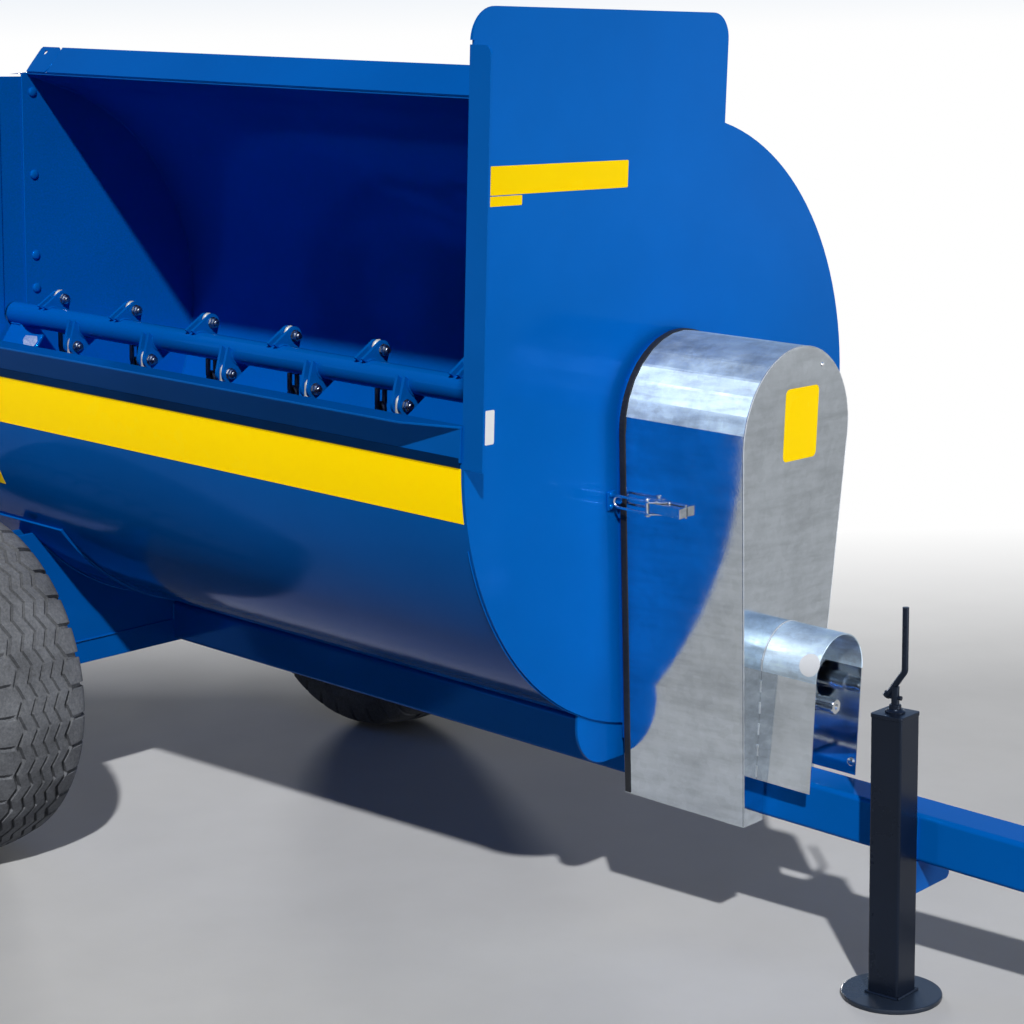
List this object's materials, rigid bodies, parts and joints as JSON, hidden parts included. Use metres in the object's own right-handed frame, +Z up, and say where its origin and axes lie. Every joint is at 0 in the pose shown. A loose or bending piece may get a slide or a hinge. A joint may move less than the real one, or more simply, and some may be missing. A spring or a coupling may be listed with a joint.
{
  "type": "towed rotary manure spreader",
  "caption": "Side-throwing manure spreader: open steel drum with a chain-flail rotor on a drawbar chassis with two tyred wheels, drive cover and jack.",
  "frame": {"origin": "on the ground below the middle of the machine, halfway along its length and between its wheels", "axes": "+X towards the hitch, +Y to the left seen facing the hitch, +Z up"},
  "size_m": [3.667, 1.8104, 1.9583],
  "materials": {
    "blue_paint": "gloss",
    "black_paint": "satin",
    "rim_paint": "satin",
    "galvanised": "satin",
    "zinc_steel": "gloss",
    "dark_steel": "satin",
    "cast_housing": "satin",
    "seal_rubber": "matte",
    "tyre_rubber": "matte"
  },
  "bodies": {
    "frame": {"drum_shell": "blue_paint", "top_rail": "blue_paint", "discharge_lip": "blue_paint", "front_plate": "blue_paint", "rear_plate": "blue_paint", "slot_cover": "blue_paint", "drum_wrapper": "blue_paint", "axle_saddle": "blue_paint", "front_saddle": "blue_paint", "chassis_beam": "blue_paint", "axle_beam": "blue_paint", "hitch_eye": "blue_paint", "jack_bracket": "blue_paint", "front_bearing": "cast_housing", "rear_bearing": "cast_housing", "input_bearing_rear": "cast_housing", "input_bearing_front": "cast_housing", "input_stand": "blue_paint", "latch_keepers": "blue_paint", "chain_tensioner": "blue_paint", "drive_chain": "dark_steel"},
    "left_wheel": {"tyre_left": "tyre_rubber", "rim_left": "rim_paint", "hub_left": "cast_housing"},
    "right_wheel": {"tyre_right": "tyre_rubber", "rim_right": "rim_paint", "hub_right": "cast_housing"},
    "rotor": {"rotor_tube": "blue_paint", "flail_lugs": "blue_paint", "flail_bolts": "zinc_steel", "flail_chains": "dark_steel", "end_scrapers": "blue_paint", "rotor_sprocket": "dark_steel"},
    "input": {"input_shaft": "zinc_steel", "input_sprocket": "dark_steel"},
    "cover": {"drive_cover": "galvanised", "cover_face": "galvanised", "cover_seal": "seal_rubber", "pto_guard": "galvanised", "cover_latch": "zinc_steel"},
    "jack": {"jack_tube": "black_paint", "jack_cap": "black_paint", "jack_crank": "black_paint", "jack_foot": "black_paint"}
  },
  "joints": [
    {"name": "left_wheel_spin", "type": "hinge", "parent": "frame", "child": "left_wheel", "pos_m": [-1.11239, 0.76, 0.425], "axis": [0, 1, 0], "continuous": true},
    {"name": "right_wheel_spin", "type": "hinge", "parent": "frame", "child": "right_wheel", "pos_m": [-1.11239, -0.76, 0.425], "axis": [0, 1, 0], "continuous": true},
    {"name": "rotor_spin", "type": "hinge", "parent": "frame", "child": "rotor", "pos_m": [0.53428, 0, 1.09925], "axis": [0.9985, 0, -0.0551], "continuous": true},
    {"name": "input_spin", "type": "hinge", "parent": "frame", "child": "input", "pos_m": [0.62, 0, 0.56572], "axis": [0.9985, 0, -0.0551], "continuous": true},
    {"name": "cover_pull", "type": "slide", "parent": "frame", "child": "cover", "axis": [0.9985, 0, -0.0551], "range_m": [0, 0.12]},
    {"name": "jack_lift", "type": "slide", "parent": "frame", "child": "jack", "axis": [0, 0, 1], "range_m": [0, 0.18]}
  ],
  "couplings": [
    {"joint": "input_spin", "follows": "rotor_spin", "ratio": 2.5333}
  ]
}
